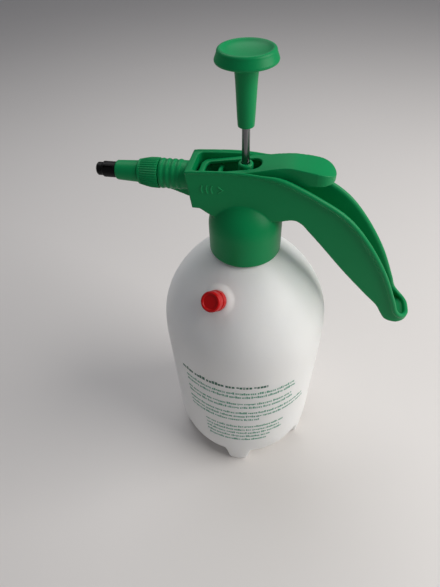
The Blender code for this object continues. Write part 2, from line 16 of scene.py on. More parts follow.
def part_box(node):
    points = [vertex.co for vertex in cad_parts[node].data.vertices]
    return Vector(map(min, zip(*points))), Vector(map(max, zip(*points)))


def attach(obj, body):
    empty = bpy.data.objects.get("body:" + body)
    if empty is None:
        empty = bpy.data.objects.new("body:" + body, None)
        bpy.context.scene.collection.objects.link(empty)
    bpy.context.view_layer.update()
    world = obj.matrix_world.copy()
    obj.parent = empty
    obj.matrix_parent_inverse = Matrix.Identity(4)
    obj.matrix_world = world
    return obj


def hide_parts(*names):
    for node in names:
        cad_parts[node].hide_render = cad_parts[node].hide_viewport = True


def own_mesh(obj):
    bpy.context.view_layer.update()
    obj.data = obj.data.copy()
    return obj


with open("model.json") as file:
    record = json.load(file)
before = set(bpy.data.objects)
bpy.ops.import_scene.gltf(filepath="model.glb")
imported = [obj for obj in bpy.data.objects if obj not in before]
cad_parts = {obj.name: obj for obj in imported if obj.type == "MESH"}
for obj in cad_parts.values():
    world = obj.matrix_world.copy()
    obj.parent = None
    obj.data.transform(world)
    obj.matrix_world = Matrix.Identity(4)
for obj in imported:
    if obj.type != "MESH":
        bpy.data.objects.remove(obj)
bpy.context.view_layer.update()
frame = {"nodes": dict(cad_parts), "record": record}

bl_info = {
    "name": "Hand Sprayer Looks",
    "version": (1, 0, 0),
    "blender": (4, 5, 0),
    "location": "View3D > Sidebar > Sprayer",
    "description": "Moulded shells, print and finishes of a hand pressure sprayer",
    "category": "Object",
}

MM = 0.001

# bottle, in millimetres about its own axis
WALL = 1.8
NECK_R = 21.2
NECK_BORE = 19.3
NECK_TOP = 242.0
THREAD_DEPTH = 1.0
THREAD_PITCH = 4.6
THREAD_LOW = 228.4
THREAD_HIGH = 239.6
FOOT_AZIMUTH = -86.4
FOOT_PITCH = 72.0
FOOT_REACH = 40.0               # the feet change the base up to this height
FOOT_HALF = 6.8                 # degrees from a foot's middle to where its side starts
FOOT_SIDE = 5.0                 # degrees that its side takes
FOOT_INNER = 26.0               # radius where it starts to come down
BASE_SLOPE = 38.0               # drop of the line that tells the base's outer skin from the inner
SHOULDER = [(NECK_R, 221.0), (23.6, 219.6), (29.4, 215.0), (36.8, 208.0), (44.3, 200.0),
            (51.4, 190.0), (57.0, 179.5), (60.8, 168.5), (62.5, 156.0), (62.9, 140.0)]
FLANK = [(62.4, 100.0), (61.9, 60.0), (61.9, 42.0)]
BASE = [(61.2, 31.0), (59.6, 23.0), (57.0, 16.0), (52.5, 12.0), (46.5, 9.5), (40.0, 9.6),
        (33.0, 11.0), (18.0, 14.5)]

# head moulding
HEAD_HALF = 12.4
HEAD_WALL = 1.8
COLLAR_R = 24.1
COLLAR_BORE = 22.6
COLLAR_Z = 222.0
DOME_Z = 240.6
CLAMP_Z = 247.0
FLOOR_Z = 265.5
TOE_X = 118.9
TOE_ROUND = 10.0
BEAD_R = 1.7
BOX_BEAD_R = 0.9
BEAD_START_X = -34.13
BEAD_OUT = 0.11
RIB_COUNT = 4
RIB_PITCH = 3.7
BARREL_R = 8.6
BARREL_RIB_R = 9.2
BARREL_END = 53.1
RIM = [(-34.8, 282.0), (-29.0, 282.8), (-6.0, 283.8), (10.0, 282.6), (24.1, 280.1),
       (43.7, 270.5), (62.2, 258.6), (77.4, 241.4), (92.1, 218.4), (103.2, 194.7),
       (106.8, 185.6), (110.4, 180.9), (114.5, 178.0), (118.7, 176.9)]
SOLE = [(118.9, 175.8), (115.5, 174.2), (108.0, 173.6), (102.3, 175.6), (98.3, 180.9),
        (93.4, 188.8), (83.9, 198.5), (66.6, 217.1), (48.9, 237.8), (41.0, 246.7),
        (36.2, 251.9), (31.0, 254.2), (23.8, 252.6)]
THROAT = [(18.0, 252.0), (-18.0, 252.0), (-21.6, 253.9), (-26.7, 257.4), (-31.7, 257.6)]
CHANNEL_FLOOR = [(15.0, FLOOR_Z), (24.0, 262.2), (33.0, 256.9), (39.0, 252.3), (45.2, 245.6),
                 (52.4, 237.3), (69.2, 218.0), (86.2, 200.0), (96.0, 189.8), (101.4, 181.6),
                 (104.6, 177.8), (110.0, 176.2), (116.0, 176.6)]
VALVE_X = -16.0

# thumb lever
PIVOT = (-26.0, 0.0, 273.0)
LEVER_HALF = 10.1
LEVER_WALL = 1.7
SLOT_HALF = 6.3
PRESS_BAR = (VALVE_X, 0.0, 275.5)
LEVER_TOP = [(-28.3, 276.6), (-27.2, 278.6), (-16.0, 280.4), (6.0, 284.0), (24.0, 287.0),
             (34.5, 286.4), (43.4, 285.0), (49.5, 283.1), (52.6, 281.0)]
LEVER_WAIST = [(4.0, 10.1), (16.0, 9.2), (25.0, 8.9), (34.5, 9.7), (42.0, 10.1)]
LEVER_UNDER = [(52.6, 277.2), (47.5, 277.2), (40.0, 276.8), (30.0, 275.4), (15.0, 273.0),
               (0.0, 271.4), (-15.0, 270.0), (-22.0, 269.6), (-28.3, 269.8)]

# nozzle
NOZZLE_Z = 273.0
BORE_DROP = 2.0

# relief valve
RELIEF_AZIMUTH = -108.0
RELIEF_ELEVATION = 39.0
RELIEF_RHO = 40.8
RELIEF_Z = 204.0
RELIEF_HOLE_R = 4.6
SEAT_RISE = 0.7                 # the valve's seat stands out of the shoulder, with soft edges
SEAT_R = 6.6
SEAT_BLEND = 5.6
SEAT_REACH = 13.0

# print on the bottle: height of a row's middle, height of its strokes, azimuths of its ends
HEADING = (137.4, 3.7, -131.0, -65.0)
ROWS = [(128.6, 3.0, -127.5, -44.0), (123.3, 3.0, -127.0, -42.0),
        (112.9, 3.0, -127.0, -45.0), (107.5, 3.0, -126.5, -43.5),
        (98.4, 3.0, -126.5, -32.0), (92.6, 3.0, -126.0, -31.0), (86.9, 3.0, -126.0, -70.0),
        (74.3, 3.0, -113.5, -49.0), (68.2, 3.0, -113.0, -52.0), (62.3, 3.0, -113.0, -50.0),
        (56.3, 3.0, -112.5, -60.0), (50.3, 3.0, -111.0, -63.0)]


# ---------------------------------------- settings a user would change

def swatch(name, description, *channels):
    """A colour among the settings."""
    return FloatVectorProperty(name=name, description=description, subtype="COLOR",
                               min=0, max=1, default=channels)


class SprayerColours(bpy.types.PropertyGroup):
    """Colours of the mouldings, the metal and the print."""
    green: swatch("Green", "Head, lever, knob and nozzle", 0.001, 0.255, 0.077)
    white: swatch("White", "Milky plastic of the bottle", 0.93, 0.925, 0.89)
    red: swatch("Red", "Relief valve", 0.50, 0.001, 0.002)
    black: swatch("Black", "Spray tip and strainer", 0.004, 0.004, 0.004)
    grey: swatch("Grey", "Piston and valve housing", 0.33, 0.34, 0.34)
    clear: swatch("Clear", "Pump cylinder and dip tube", 0.74, 0.77, 0.76)
    steel: swatch("Steel", "Pump rod, springs and valve stems", 0.19, 0.19, 0.20)
    rubber: swatch("Rubber", "Seals and gasket", 0.025, 0.025, 0.026)
    ink: swatch("Ink", "Print on the bottle", 0.100, 0.330, 0.215)
    heading: swatch("Heading", "Darker ink of the top row", 0.012, 0.110, 0.060)


class SprayerSizes(bpy.types.PropertyGroup):
    """Fineness of the shells and sizes of the small details."""
    voxel: FloatProperty(name="Shell grid", description="Grid that rounds the mouldings' edges",
                         unit="LENGTH", min=0.0003, max=0.002, default=0.45 * MM)
    shell_share: FloatProperty(name="Faces kept", description="Share of the shell's faces kept",
                               subtype="FACTOR", min=0.05, max=1.0, default=0.30)
    around: IntProperty(name="Bottle steps", description="Steps around the bottle",
                        min=48, max=360, default=160)
    ribs: IntProperty(name="Nut ribs", description="Grip ribs around the nozzle nut",
                      min=12, max=60, default=40)
    rib_depth: FloatProperty(name="Rib depth", description="Depth between the nut's ribs",
                             unit="LENGTH", min=0.0, max=0.001, default=0.45 * MM)
    mark_height: FloatProperty(name="Mark height", description="How far the cast marks stand out",
                               unit="LENGTH", min=0.0001, max=0.001, default=0.35 * MM)
    print_height: FloatProperty(name="Print height", description="Thickness of the ink",
                                unit="LENGTH", min=0.00001, max=0.0001, default=0.04 * MM)
    print_seed: IntProperty(name="Print seed", description="Seed of the print's stroke pattern",
                            min=0, default=7)


class SprayerStage(bpy.types.PropertyGroup):
    """Camera, lamps and floor."""
    eye: FloatVectorProperty(name="Camera", description="Where the camera stands",
                             subtype="TRANSLATION", unit="LENGTH",
                             default=(20.65 * MM, -226.9 * MM, 416.1 * MM))
    pitch: FloatProperty(name="Pitch", description="How far the camera looks down",
                         subtype="ANGLE", default=math.radians(46.735))
    yaw: FloatProperty(name="Yaw", description="Turn of the camera to the left",
                       subtype="ANGLE", default=math.radians(12.953))
    roll: FloatProperty(name="Roll", description="Tilt of the camera about its line of sight",
                        subtype="ANGLE", default=math.radians(2.935))
    lens: FloatProperty(name="Lens", description="Focal length in millimetres",
                        min=10.0, max=100.0, default=26.49)
    key_power: FloatProperty(name="Key lamp", description="Power of the large side lamp",
                             unit="POWER", min=0.0, default=12.5)
    fill_power: FloatProperty(name="Fill lamp", description="Power of the overhead lamp",
                              unit="POWER", min=0.0, default=4.0)
    room: FloatProperty(name="Room light", description="Strength of the even light all round",
                        min=0.0, max=5.0, default=0.19)
    floor: swatch("Floor", "Colour of the plain floor", 0.76, 0.73, 0.705)


# ---------------------------------------- finishes

class Reading:
    """A number that varies over a surface. Arithmetic on it adds Math nodes."""

    def __init__(self, finish, socket):
        self.finish = finish
        self.socket = socket

    def maths(self, operation, first, second):
        return self.finish.node("ShaderNodeMath", {"operation": operation},
                                {0: first, 1: second})

    def __add__(self, other):
        return self.maths("ADD", self, other)

    def __radd__(self, other):
        return self.maths("ADD", other, self)

    def __sub__(self, other):
        return self.maths("SUBTRACT", self, other)

    def __rsub__(self, other):
        return self.maths("SUBTRACT", other, self)

    def __mul__(self, other):
        return self.maths("MULTIPLY", self, other)

    def __rmul__(self, other):
        return self.maths("MULTIPLY", other, self)


class Finish:
    """The node tree of one finish, with the Principled shader that it ends in."""

    def __init__(self, name, **fixed):
        self.material = bpy.data.materials.new(name)
        self.material.use_nodes = True
        self.tree = self.material.node_tree
        self.shader = self.tree.nodes["Principled BSDF"]
        for socket, value in fixed.items():
            self.shader.inputs[socket.replace("_", " ")].default_value = value
        self.place = self.node("ShaderNodeTexCoord", output="Object")

    def feed(self, socket, value):
        if isinstance(value, Reading):
            self.tree.links.new(value.socket, socket)
        else:
            socket.default_value = value

    def node(self, kind, settings=None, inputs=None, output=0):
        """Any node: its settings are set first, then the values or links of its sockets."""
        made = self.tree.nodes.new(kind)
        for key, value in (settings or {}).items():
            setattr(made, key, value)
        for key, value in (inputs or {}).items():
            self.feed(made.inputs[key], value)
        return Reading(self, made.outputs[output])

    def stretched(self, scale):
        """The place on the piece, squeezed or stretched along its axes."""
        return self.node("ShaderNodeMapping", {"vector_type": "POINT"},
                         {"Vector": self.place, "Scale": scale})

    def noise(self, size, detail=2.0, stretch=None):
        """Soft noise whose blotches are about size metres across."""
        place = self.place if stretch is None else self.stretched(stretch)
        return self.node("ShaderNodeTexNoise", {"noise_dimensions": "3D"},
                         {"Vector": place, "Scale": 1 / size, "Detail": detail}, "Fac")

    def over(self, value, low, high):
        """A soft step: 0 below low and 1 above high."""
        return self.node("ShaderNodeMapRange", {"interpolation_type": "SMOOTHSTEP"},
                         {"Value": value, "From Min": low, "From Max": high})

    def mixed(self, factor, first, second):
        """A colour between two colours."""
        return self.node("ShaderNodeMix", {"data_type": "RGBA"},
                         {0: factor, 6: first, 7: second}, 2)

    def bump(self, height, distance):
        """Small relief; distance is the height in metres that 1 stands for."""
        return self.node("ShaderNodeBump", None, {"Height": height, "Distance": distance})

    def end(self, **varying):
        for socket, value in varying.items():
            self.feed(self.shader.inputs[socket.replace("_", " ")], value)
        return self.material


def tone(colour, share):
    return (*[min(channel * share, 1.0) for channel in colour], 1.0)


def moulded(name, colour, roughness, grain, **fixed):
    """Moulded plastic: faint flow clouds, fine grain, a few scuffs."""
    finish = Finish(name, **fixed)
    clouds = finish.noise(0.030, 3.0)
    flow = finish.noise(0.012, 2.0, (0.25, 1.0, 1.0))
    fine = finish.noise(0.0006, 2.0)
    scuffs = finish.over(finish.noise(0.0011, 4.0, (0.08, 1.0, 0.6)), 0.60, 0.74)
    patches = finish.over(finish.noise(0.022, 2.0), 0.45, 0.70)
    worn = scuffs * patches
    base = finish.mixed(clouds * 0.6 + flow * 0.4, tone(colour, 0.90), tone(colour, 1.10))
    pale = (*[0.90 * channel + 0.02 for channel in colour], 1.0)
    shade = finish.mixed(worn * 0.35, base, pale)
    rough = roughness - 0.05 + clouds * 0.10 + worn * 0.16
    relief = finish.bump(fine * grain + clouds * 1.5 - worn * 0.3, 0.03 * MM)
    return finish.end(Base_Color=shade, Roughness=rough, Normal=relief)


def milky(name, colour):
    """Blow-moulded bottle wall: cloudy, slightly uneven, a little light inside it."""
    finish = Finish(name, Subsurface_Weight=0.45, Subsurface_Radius=(1.0, 0.95, 0.85),
                    Subsurface_Scale=0.004, IOR=1.50, Coat_Weight=0.0)
    clouds = finish.noise(0.060, 3.0)
    streaks = finish.noise(0.016, 3.0, (1.0, 1.0, 0.14))
    fine = finish.noise(0.0009, 2.0)
    dust = finish.over(finish.noise(0.0016, 4.0), 0.66, 0.74)
    marks = finish.over(finish.noise(0.0013, 3.0, (1.0, 1.0, 0.07)), 0.63, 0.75)
    handled = marks * finish.over(finish.noise(0.035, 2.0), 0.48, 0.68)
    base = finish.mixed(clouds * 0.5 + streaks * 0.5, tone(colour, 0.955), tone(colour, 1.035))
    dull = finish.mixed(dust * 0.25 + handled * 0.2, base, tone(colour, 0.86))
    rough = 0.36 + clouds * 0.08 + streaks * 0.05 + handled * 0.14
    relief = finish.bump(streaks * 2.4 + clouds * 5.0 + fine * 0.25 - handled * 0.3, 0.06 * MM)
    return finish.end(Base_Color=dull, Roughness=rough, Normal=relief)


def polished(name, colour, along):
    """Drawn and polished metal, with fine lines along the given stretch."""
    finish = Finish(name, Metallic=1.0)
    lines = finish.noise(0.0005, 3.0, along)
    clouds = finish.noise(0.010, 3.0)
    spots = finish.over(finish.noise(0.0014, 3.0), 0.64, 0.72)
    shade = finish.mixed(clouds * 0.7 + spots * 0.3, tone(colour, 1.08), tone(colour, 0.78))
    rough = 0.14 + lines * 0.10 + clouds * 0.06 + spots * 0.12
    relief = finish.bump(lines * 0.5 + clouds * 0.5, 0.02 * MM)
    return finish.end(Base_Color=shade, Roughness=rough, Normal=relief)


def soft_rubber(name, colour):
    """Dull rubber with a dusty bloom."""
    finish = Finish(name)
    bloom = finish.noise(0.004, 4.0)
    fine = finish.noise(0.0004, 2.0)
    shade = finish.mixed(finish.over(bloom, 0.45, 0.75), tone(colour, 1.0), tone(colour, 2.2))
    rough = 0.66 + bloom * 0.16
    return finish.end(Base_Color=shade, Roughness=rough, Normal=finish.bump(fine, 0.03 * MM))


def see_through(name, colour):
    """Cloudy tube plastic, which lets some light through."""
    finish = Finish(name, IOR=1.49, Transmission_Weight=0.45)
    clouds = finish.noise(0.009, 3.0)
    streaks = finish.noise(0.002, 3.0, (1.0, 1.0, 0.1))
    shade = finish.mixed(clouds, tone(colour, 0.94), tone(colour, 1.06))
    rough = 0.26 + clouds * 0.10 + streaks * 0.06
    relief = finish.bump(streaks + clouds * 1.5, 0.03 * MM)
    return finish.end(Base_Color=shade, Roughness=rough, Normal=relief)


def printed(name, colour):
    """Screen ink: slightly patchy cover with rough edges."""
    finish = Finish(name)
    cover = finish.noise(0.0008, 4.0)
    clouds = finish.noise(0.012, 2.0)
    shade = finish.mixed(cover * 0.7 + clouds * 0.3, tone(colour, 0.80), tone(colour, 1.35))
    return finish.end(Base_Color=shade, Roughness=0.46 + cover * 0.12)


def smooth_floor(name, colour):
    """A plain painted table top."""
    finish = Finish(name)
    clouds = finish.noise(0.50, 3.0)
    fine = finish.noise(0.0012, 3.0)
    shade = finish.mixed(clouds, tone(colour, 0.97), tone(colour, 1.03))
    rough = 0.48 + clouds * 0.06
    return finish.end(Base_Color=shade, Roughness=rough, Normal=finish.bump(fine, 0.02 * MM))


FINISHES = {}


def finishes():
    """The material of each slot of the record, and of the print and marks, made once."""
    colours = bpy.context.scene.sprayer_colours
    if not FINISHES:
        FINISHES.update(
            green_plastic=moulded("green_moulding", colours.green, 0.40, 0.7,
                                  Specular_IOR_Level=0.18),
            # the marks get the green lightened by 1.35 as a painted highlight: a lit copy of the
            # green moulding
            cast_mark=moulded("cast_mark", tone(colours.green, 1.35)[:3], 0.40, 0.7,
                              Specular_IOR_Level=0.40),
            white_plastic=milky("milky_bottle", colours.white),
            red_plastic=moulded("red_moulding", colours.red, 0.34, 0.4,
                                Specular_IOR_Level=0.25),
            black_plastic=moulded("black_moulding", colours.black, 0.40, 0.6,
                                  Specular_IOR_Level=0.15),
            grey_plastic=moulded("grey_moulding", colours.grey, 0.42, 0.6),
            clear_plastic=see_through("cloudy_tube", colours.clear),
            steel=polished("polished_steel", colours.steel, (1.0, 1.0, 0.03)),
            rubber=soft_rubber("seal_rubber", colours.rubber),
            ink=printed("green_ink", colours.ink),
            heading_ink=printed("dark_ink", colours.heading))
    return FINISHES


# ---------------------------------------- drawing helpers

def ease(value):
    """A soft step from 0 to 1."""
    value = min(max(value, 0.0), 1.0)
    return value * value * (3 - 2 * value)


def arc(centre, radius, start, end, count):
    """Points on an arc, with angles in degrees."""
    angles = [math.radians(start + (end - start) * i / count) for i in range(count + 1)]
    return [(centre[0] + radius * math.cos(a), centre[1] + radius * math.sin(a)) for a in angles]


def flowing(points, count=4):
    """A smooth line through the points, with count steps between neighbours."""
    padded = [points[0]] + list(points) + [points[-1]]
    line = []
    for i in range(1, len(padded) - 2):
        for step in range(count):
            t = step / count
            line.append(tuple(
                0.5 * (2 * b + (c - a) * t + (2 * a - 5 * b + 4 * c - d) * t * t
                       + (3 * b - a - 3 * c + d) * t * t * t)
                for a, b, c, d in zip(*padded[i - 1:i + 3])))
    line.append(tuple(points[-1]))
    return line


def softened(profile, radius, closed=False, steps=3):
    """The profile with its corners rounded off."""
    line = []
    last = len(profile) - 1
    for i, point in enumerate(profile):
        here = Vector(point)
        before = Vector(profile[i - 1]) - here
        after = Vector(profile[(i + 1) % len(profile)]) - here
        if (not closed and i in (0, last)) or before.angle(after) > math.radians(168):
            line.append(tuple(here))
            continue
        reach = min(radius, 0.45 * before.length, 0.45 * after.length)
        start = here + before.normalized() * reach
        end = here + after.normalized() * reach
        for step in range(steps + 1):
            t = step / steps
            line.append(tuple(start * (1 - t) ** 2 + here * 2 * t * (1 - t) + end * t * t))
    return line


def as_mesh(work, name, place=None):
    """Turn a bmesh into a mesh, moved to its place if it has one."""
    if place is not None:
        bmesh.ops.transform(work, matrix=place, verts=work.verts)
    bmesh.ops.recalc_face_normals(work, faces=work.faces)
    mesh = bpy.data.meshes.new(name)
    work.to_mesh(mesh)
    work.free()
    return mesh


def turned(profile, steps=96, closed=False, place=None, shape=None):
    """Turn a profile of (radius, height) about Z; shape may change a point's radius."""
    work = bmesh.new()
    rows = []
    for radius, height in profile:
        if radius < 1e-6:
            rows.append([work.verts.new((0, 0, height))])
            continue
        row = []
        for step in range(steps):
            angle = 2 * math.pi * step / steps
            reach = shape(radius, height, angle) if shape else radius
            row.append(work.verts.new((reach * math.cos(angle), reach * math.sin(angle),
                                       height)))
        rows.append(row)
    pairs = list(zip(rows, rows[1:]))
    if closed:
        pairs.append((rows[-1], rows[0]))
    for upper, lower in pairs:
        for step in range(steps):
            corners = [upper[step % len(upper)], upper[(step + 1) % steps % len(upper)],
                       lower[(step + 1) % steps % len(lower)], lower[step % len(lower)]]
            corners = list(dict.fromkeys(corners))
            if len(corners) > 2:
                work.faces.new(corners)
    return as_mesh(work, "turned", place)


def rod(radius, low, high, steps=48, place=None):
    return turned([(0, high), (radius, high), (radius, low), (0, low)], steps, False, place)


def plate(outline, half, upright=True, level=0.0):
    """A flat outline with thickness: upright in X and Z, else in X and Y about a level."""
    work = bmesh.new()
    near = []
    far = []
    for a, b in outline:
        for side, row in ((-half, near), (half, far)):
            point = (a, side, b) if upright else (a, b, level + side)
            row.append(work.verts.new(point))
    work.faces.new(near)
    work.faces.new(far[::-1])
    for i in range(len(outline)):
        j = (i + 1) % len(outline)
        work.faces.new((near[i], far[i], far[j], near[j]))
    return as_mesh(work, "plate")


def block(low, high, place=None):
    work = bmesh.new()
    bmesh.ops.create_cube(work, size=1.0)
    bmesh.ops.scale(work, vec=Vector(high) - Vector(low), verts=work.verts)
    bmesh.ops.translate(work, vec=(Vector(high) + Vector(low)) / 2, verts=work.verts)
    return as_mesh(work, "block", place)


def skinned(work, rings):
    """Close a bar over its rings of points, from one end to the other."""
    for one, two in zip(rings, rings[1:]):
        for k in range(len(one)):
            j = (k + 1) % len(one)
            work.faces.new((one[k], one[j], two[j], two[k]))
    work.faces.new(rings[0])
    work.faces.new(rings[-1][::-1])


def swept(line, radii, around, place=None):
    """A closed round bar along a line of points, with its own radius at each point."""
    work = bmesh.new()
    points = [Vector(point) for point in line]
    ways = [(points[min(i + 1, len(points) - 1)] - points[max(i - 1, 0)]).normalized()
            for i in range(len(points))]
    normal = ways[0].orthogonal().normalized()
    rings = []
    for point, before, way, radius in zip(points, ways[:1] + ways, ways, radii):
        normal = before.rotation_difference(way) @ normal
        other = way.cross(normal)
        ring = []
        for k in range(around):
            lean = 2 * math.pi * k / around
            reach = normal * math.cos(lean) + other * math.sin(lean)
            ring.append(work.verts.new(point + reach * radius))
        rings.append(ring)
    skinned(work, rings)
    return as_mesh(work, "swept", place)


def linked(name, data):
    """A new object of the scene."""
    piece = bpy.data.objects.new(name, data)
    bpy.context.scene.collection.objects.link(piece)
    return piece


def evaluated(piece):
    """The piece's mesh with its modifiers applied."""
    bpy.context.view_layer.update()
    graph = bpy.context.evaluated_depsgraph_get()
    return bpy.data.meshes.new_from_object(piece.evaluated_get(graph))


def combined(mesh, *steps):
    """Join or cut a solid with others: each step is (operation, mesh)."""
    piece = linked("temporary", mesh)
    tools = []
    for operation, other in steps:
        tool = linked("temporary", other)
        tools.append(tool)
        change = piece.modifiers.new("Combine", "BOOLEAN")
        change.operation = operation
        change.solver = "EXACT"
        change.object = tool
    result = evaluated(piece)
    for used in [piece] + tools:
        bpy.data.objects.remove(used, do_unlink=True)
    return result


def remoulded(mesh, voxel, passes, share):
    """A solid with all its edges rounded off, as a mould leaves them."""
    piece = linked("temporary", mesh)
    skin = piece.modifiers.new("Skin", "REMESH")
    skin.mode = "VOXEL"
    skin.voxel_size = voxel
    soften = piece.modifiers.new("Soften", "SMOOTH")
    soften.factor = 0.5
    soften.iterations = passes
    thin = piece.modifiers.new("Thin", "DECIMATE")
    thin.ratio = share
    result = evaluated(piece)
    bpy.data.objects.remove(piece, do_unlink=True)
    return result


def middle(node):
    low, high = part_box(node)
    return (low + high) / 2


AXIS = Vector((middle("pump_rod").x, 0, 0))
UPRIGHT = Matrix.Translation(AXIS) @ Matrix.Scale(MM, 4)
NOZZLE = Matrix.Translation((0, 0, NOZZLE_Z)) @ Matrix.Rotation(math.radians(-90), 4, "Y")


def relief_line():
    """The relief valve's seat and direction, in millimetres about the bottle's axis."""
    azimuth = math.radians(RELIEF_AZIMUTH)
    elevation = math.radians(RELIEF_ELEVATION)
    flat = math.cos(elevation)
    seat = Vector((RELIEF_RHO * math.cos(azimuth), RELIEF_RHO * math.sin(azimuth), RELIEF_Z))
    return seat, Vector((flat * math.cos(azimuth), flat * math.sin(azimuth),
                         math.sin(elevation)))


def facing(point, direction):
    """A place at the point with its Z along the direction."""
    turn = Vector(direction).to_track_quat("Z", "Y").to_matrix().to_4x4()
    return Matrix.Translation(point) @ turn


RELIEF = facing(*relief_line())


def add_piece(name, mesh, body, slot, replaced=(), finish=None, angle=40.0):
    """Put a mesh drawn in millimetres in the scene and give it its body and finish."""
    mesh.transform(UPRIGHT)
    mesh.name = name
    mesh.materials.clear()
    mesh.materials.append(finishes()[finish or slot])
    mesh.shade_smooth()
    mesh.set_sharp_from_angle(angle=math.radians(angle))
    piece = linked(name, mesh)
    shading = piece.modifiers.new("Even shading", "WEIGHTED_NORMAL")
    shading.keep_sharp = True
    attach(piece, body)
    if replaced:
        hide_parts(*replaced)
    return piece


# ---------------------------------------- bottle

def offset_inwards(profile, wall):
    inner = []
    for i, (r, z) in enumerate(profile):
        before = profile[max(i - 1, 0)]
        after = profile[min(i + 1, len(profile) - 1)]
        dr = after[0] - before[0]
        dz = after[1] - before[1]
        size = math.hypot(dr, dz)
        inner.append((r + wall * dz / size, z - wall * dr / size))
    return inner


def foot_weight(radius, height, azimuth):
    """How far a point belongs to a foot: 1 on its flat sole, 0 between the feet."""
    away = abs((azimuth - FOOT_AZIMUTH + FOOT_PITCH / 2) % FOOT_PITCH - FOOT_PITCH / 2)
    around = 1 - ease((away - FOOT_HALF) / FOOT_SIDE)
    inwards = ease((radius - FOOT_INNER) / 16.0)
    upwards = 1 - ease((height - 16.0) / 20.0)
    return around * inwards * upwards


def thread(radius, height, angle):
    """The neck's screw thread: a rounded ridge that climbs around it."""
    if not (THREAD_LOW < height < THREAD_HIGH and NECK_R - 0.01 < radius < NECK_R + 0.01):
        return radius
    turn = (height / THREAD_PITCH - angle / (2 * math.pi)) % 1.0
    ridge = ease(1 - abs(turn - 0.5) * 3.2)
    ends = ease((height - THREAD_LOW) / 1.2) * ease((THREAD_HIGH - height) / 1.2)
    return radius + THREAD_DEPTH * ridge * ends


def outer_line():
    return (flowing(SHOULDER, 5)[:-1] + flowing(SHOULDER[-1:] + FLANK, 5)[:-1]
            + flowing(FLANK[-1:] + BASE, 5))


def wall_radius(height):
    """Outside radius of the bottle's side at a height."""
    line = outer_line()
    for (r0, z0), (r1, z1) in zip(line, line[1:]):
        if z1 <= height <= z0:
            return r0 + (r1 - r0) * (z0 - height) / max(z0 - z1, 1e-6)
    raise ValueError("no bottle wall at height " + str(height))


def build_bottle():
    sizes = bpy.context.scene.sprayer_sizes
    outer = outer_line()
    inner = [point for point in offset_inwards(outer, WALL) if point[1] < 219.0]
    lip = softened([(NECK_BORE, 219.4), (NECK_BORE, NECK_TOP), (NECK_R, NECK_TOP),
                    (NECK_R, 240.0)], 0.5)
    neck = [(NECK_R, 239.8 - 0.35 * i) for i in range(34)] + [(NECK_R, 225.0)]
    profile = [(0, 16.6)] + inner[::-1] + lip + neck + outer + [(0, 14.8)]
    mesh = turned(profile, sizes.around, False, None, thread)
    seat, direction = relief_line()
    work = bmesh.new()
    work.from_mesh(mesh)
    near = [edge for edge in work.edges
            if all((vert.co - seat).length < SEAT_REACH + 0.5 for vert in edge.verts)]
    bmesh.ops.subdivide_edges(work, edges=near, cuts=2, use_grid_fill=True)
    bmesh.ops.triangulate(work, faces=[face for face in work.faces if len(face.verts) > 4])
    for vert in work.verts:
        x, y, z = vert.co
        radius = math.hypot(x, y)
        if z < FOOT_REACH:
            outside = vert.normal.dot(Vector((x, y, -BASE_SLOPE))) > 0
            weight = foot_weight(radius, z, math.degrees(math.atan2(y, x)))
            vert.co.z = z * (1 - weight) + (0.0 if outside else WALL) * weight
        away = vert.co - seat
        height = away.dot(direction)
        spread = (away - direction * height).length
        if spread < SEAT_REACH and -4.0 < height < 2.0 and vert.normal.dot(direction) > 0:
            seated = 1 - ease((spread - SEAT_R) / SEAT_BLEND)
            vert.co += direction * (SEAT_RISE - height) * seated
    mesh = as_mesh(work, "bottle")
    hole = rod(RELIEF_HOLE_R, -9.0, 4.0, 64, RELIEF)
    mesh = combined(mesh, ("DIFFERENCE", hole))
    add_piece("bottle_shell", mesh, "bottle_body", "white_plastic", ["bottle"], None, 50.0)


# ---------------------------------------- print

def add_stroke(work, radius, low, high, start, end, depth):
    """One flat stroke of ink on the bottle, between two azimuths and two heights."""
    corners = []
    for reach in (radius - 0.05, radius + depth):
        for height in (low, high):
            for azimuth in (start, end):
                corners.append(work.verts.new((reach * math.cos(azimuth),
                                               reach * math.sin(azimuth), height)))
    for a, b, c, d in ((4, 5, 7, 6), (0, 2, 3, 1), (0, 1, 5, 4), (2, 6, 7, 3), (0, 4, 6, 2),
                       (1, 3, 7, 5)):
        work.faces.new([corners[i] for i in (a, b, c, d)])


def add_row(work, row, dice, width, depth):
    """A row of unreadable strokes in word-like groups."""
    middle_z, tall, start, end = row
    radius = wall_radius(middle_z)
    at = math.radians(start)
    stop = math.radians(end)
    left = 0
    while at < stop:
        if left == 0:
            left = dice.randint(3, 9)
            at += 0.45 * width / radius
        stroke = width * dice.uniform(0.70, 0.95) / radius
        kind = dice.random()
        low = middle_z - tall / 2
        high = middle_z + tall / 2
        if kind < 0.45:
            spans = [(low, low + 0.70 * tall)]
        elif kind < 0.65:
            spans = [(low, high)]
        elif kind < 0.85:
            spans = [(low, low + 0.26 * tall), (low + 0.46 * tall, low + 0.72 * tall)]
        else:
            spans = [(low + 0.22 * tall, low + 0.70 * tall)]
        for bottom, top in spans:
            add_stroke(work, radius, bottom, top, at, min(at + stroke, stop), depth)
        at += width / radius
        left -= 1


def build_print():
    sizes = bpy.context.scene.sprayer_sizes
    dice = random.Random(sizes.print_seed)
    depth = sizes.print_height / MM
    for name, rows, width, ink in (("print_heading", [HEADING], 2.4, "heading_ink"),
                                   ("print_rows", ROWS, 1.55, "ink")):
        work = bmesh.new()
        for row in rows:
            add_row(work, row, dice, width, depth)
        add_piece(name, as_mesh(work, name), "bottle_body", "green_plastic", (), ink, 20.0)


# ---------------------------------------- head

def plan_outline(half, front, front_round, rear, rear_round, count=16):
    """A bar seen from above, with round corners at each end."""
    return (arc((rear - rear_round, half - rear_round), rear_round, 90, 0, count)
            + arc((rear - rear_round, rear_round - half), rear_round, 0, -90, count)
            + arc((front + front_round, front_round - half), front_round, -90, -180, count)
            + arc((front + front_round, half - front_round), front_round, 180, 90, count))


